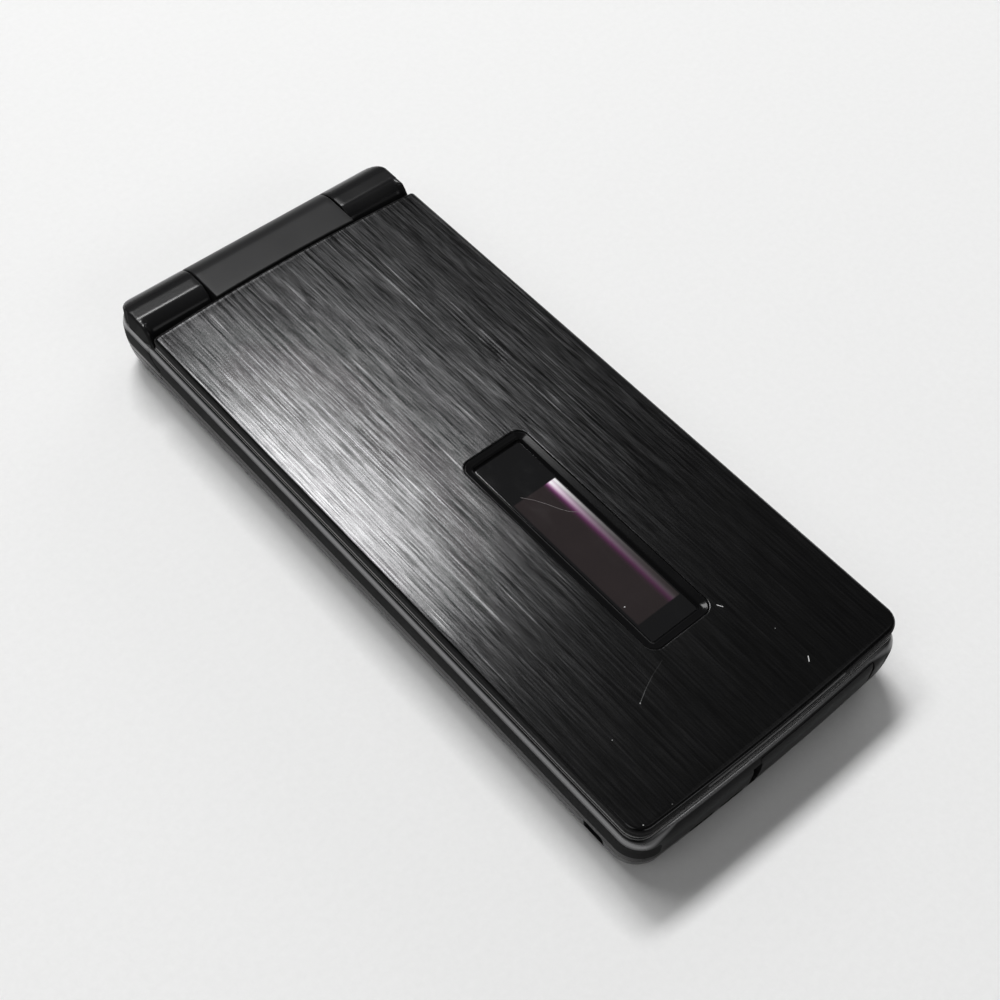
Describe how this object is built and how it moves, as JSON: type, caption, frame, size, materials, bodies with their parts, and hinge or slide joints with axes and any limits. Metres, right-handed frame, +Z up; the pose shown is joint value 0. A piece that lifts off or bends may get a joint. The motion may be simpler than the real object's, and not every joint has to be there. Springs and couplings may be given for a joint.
{
  "type": "flip phone",
  "caption": "Slim clamshell mobile phone, closed, with brushed metal lid, lengthwise sub-display window and barrel hinge.",
  "frame": {"origin": "on the table under the middle of the closed phone", "axes": "+Z up out of the lid, +Y towards the hinge, +X to the right when the phone is opened and read"},
  "size_m": [0.05, 0.116, 0.0127],
  "materials": {
    "brushed_black": "hairline brushed, black",
    "satin_grey": "satin grey",
    "black_plastic": "satin",
    "case_plastic": "fine matt",
    "gloss_black": "gloss",
    "lens": "clear, dark",
    "display": "dark panel",
    "grille": "fine mesh",
    "steel": "plain",
    "gold": "gold plated",
    "board": "solder mask",
    "ribbon": "polyimide",
    "rubber": "matt",
    "silicone": "translucent",
    "foil": "foil wrapped",
    "key": "satin",
    "ring": "satin metal"
  },
  "bodies": {
    "base": {"hinge_shaft": "steel", "hinge_bush": "steel", "base_frame": "black_plastic", "left_hinge_cap": "gloss_black", "right_hinge_cap": "gloss_black", "rear_case": "case_plastic", "battery": "foil", "battery_contacts": "gold", "main_board": "board", "shield_cans": "steel", "keypad_sheet": "silicone", "io_connector": "steel", "charge_contacts": "gold", "strap_bar": "steel", "camera_module": "black_plastic", "camera_window": "lens", "loudspeaker": "black_plastic", "vibration_motor": "steel", "microphone": "steel", "base_screws": "steel"},
    "lid": {"lid_plate": "brushed_black", "lid_frame": "black_plastic", "hinge_knuckle": "satin_grey", "window_bezel": "gloss_black", "sub_display_lens": "lens", "sub_display": "display", "lid_inner_case": "case_plastic", "main_display": "display", "main_display_lens": "lens", "earpiece": "black_plastic", "earpiece_grille": "grille", "lid_screws": "steel", "lid_screw_caps": "rubber", "lid_bumpers": "rubber", "lid_magnet": "steel", "hinge_can": "steel", "hinge_flex": "ribbon"},
    "port_cover": {"port_cover": "black_plastic"},
    "battery_cover": {"battery_cover": "case_plastic"},
    "side_key": {"side_key": "key"},
    "key_1": {"key_1": "key"},
    "key_2": {"key_2": "key"},
    "key_3": {"key_3": "key"},
    "key_4": {"key_4": "key"},
    "key_5": {"key_5": "key"},
    "key_6": {"key_6": "key"},
    "key_7": {"key_7": "key"},
    "key_8": {"key_8": "key"},
    "key_9": {"key_9": "key"},
    "key_star": {"key_star": "key"},
    "key_0": {"key_0": "key"},
    "key_hash": {"key_hash": "key"},
    "call_key": {"call_key": "key"},
    "clear_key": {"clear_key": "key"},
    "end_key": {"end_key": "key"},
    "soft_key_left": {"soft_key_left": "key"},
    "soft_key_right": {"soft_key_right": "key"},
    "nav_ring": {"nav_ring": "ring"},
    "centre_key": {"centre_key": "key"}
  },
  "joints": [
    {"name": "lid_hinge", "type": "hinge", "parent": "base", "child": "lid", "pos_m": [0, 0.0531, 0.0078], "axis": [-1, 0, 0], "range_deg": [0, 160]},
    {"name": "port_cover_swing", "type": "hinge", "parent": "base", "child": "port_cover", "pos_m": [0.018, -0.05692, 0.00665], "axis": [0, 0, 1], "range_deg": [0, 90]},
    {"name": "battery_cover_slide", "type": "slide", "parent": "base", "child": "battery_cover", "axis": [0, -1, 0], "range_m": [0, 0.0045]},
    {"name": "side_key_press", "type": "slide", "parent": "base", "child": "side_key", "axis": [-1, 0, 0], "range_m": [0, 0.0003], "stiffness_N_per_m": 1500},
    {"name": "key_1_press", "type": "slide", "parent": "base", "child": "key_1", "axis": [0, 0, -1], "range_m": [0, 0.0003], "stiffness_N_per_m": 1500},
    {"name": "key_2_press", "type": "slide", "parent": "base", "child": "key_2", "axis": [0, 0, -1], "range_m": [0, 0.0003], "stiffness_N_per_m": 1500},
    {"name": "key_3_press", "type": "slide", "parent": "base", "child": "key_3", "axis": [0, 0, -1], "range_m": [0, 0.0003], "stiffness_N_per_m": 1500},
    {"name": "key_4_press", "type": "slide", "parent": "base", "child": "key_4", "axis": [0, 0, -1], "range_m": [0, 0.0003], "stiffness_N_per_m": 1500},
    {"name": "key_5_press", "type": "slide", "parent": "base", "child": "key_5", "axis": [0, 0, -1], "range_m": [0, 0.0003], "stiffness_N_per_m": 1500},
    {"name": "key_6_press", "type": "slide", "parent": "base", "child": "key_6", "axis": [0, 0, -1], "range_m": [0, 0.0003], "stiffness_N_per_m": 1500},
    {"name": "key_7_press", "type": "slide", "parent": "base", "child": "key_7", "axis": [0, 0, -1], "range_m": [0, 0.0003], "stiffness_N_per_m": 1500},
    {"name": "key_8_press", "type": "slide", "parent": "base", "child": "key_8", "axis": [0, 0, -1], "range_m": [0, 0.0003], "stiffness_N_per_m": 1500},
    {"name": "key_9_press", "type": "slide", "parent": "base", "child": "key_9", "axis": [0, 0, -1], "range_m": [0, 0.0003], "stiffness_N_per_m": 1500},
    {"name": "key_star_press", "type": "slide", "parent": "base", "child": "key_star", "axis": [0, 0, -1], "range_m": [0, 0.0003], "stiffness_N_per_m": 1500},
    {"name": "key_0_press", "type": "slide", "parent": "base", "child": "key_0", "axis": [0, 0, -1], "range_m": [0, 0.0003], "stiffness_N_per_m": 1500},
    {"name": "key_hash_press", "type": "slide", "parent": "base", "child": "key_hash", "axis": [0, 0, -1], "range_m": [0, 0.0003], "stiffness_N_per_m": 1500},
    {"name": "call_key_press", "type": "slide", "parent": "base", "child": "call_key", "axis": [0, 0, -1], "range_m": [0, 0.0003], "stiffness_N_per_m": 1500},
    {"name": "clear_key_press", "type": "slide", "parent": "base", "child": "clear_key", "axis": [0, 0, -1], "range_m": [0, 0.0003], "stiffness_N_per_m": 1500},
    {"name": "end_key_press", "type": "slide", "parent": "base", "child": "end_key", "axis": [0, 0, -1], "range_m": [0, 0.0003], "stiffness_N_per_m": 1500},
    {"name": "soft_key_left_press", "type": "slide", "parent": "base", "child": "soft_key_left", "axis": [0, 0, -1], "range_m": [0, 0.0003], "stiffness_N_per_m": 1500},
    {"name": "soft_key_right_press", "type": "slide", "parent": "base", "child": "soft_key_right", "axis": [0, 0, -1], "range_m": [0, 0.0003], "stiffness_N_per_m": 1500},
    {"name": "nav_ring_press", "type": "slide", "parent": "base", "child": "nav_ring", "axis": [0, 0, -1], "range_m": [0, 0.0003], "stiffness_N_per_m": 1500},
    {"name": "centre_key_press", "type": "slide", "parent": "base", "child": "centre_key", "axis": [0, 0, -1], "range_m": [0, 0.0003], "stiffness_N_per_m": 1500}
  ]
}
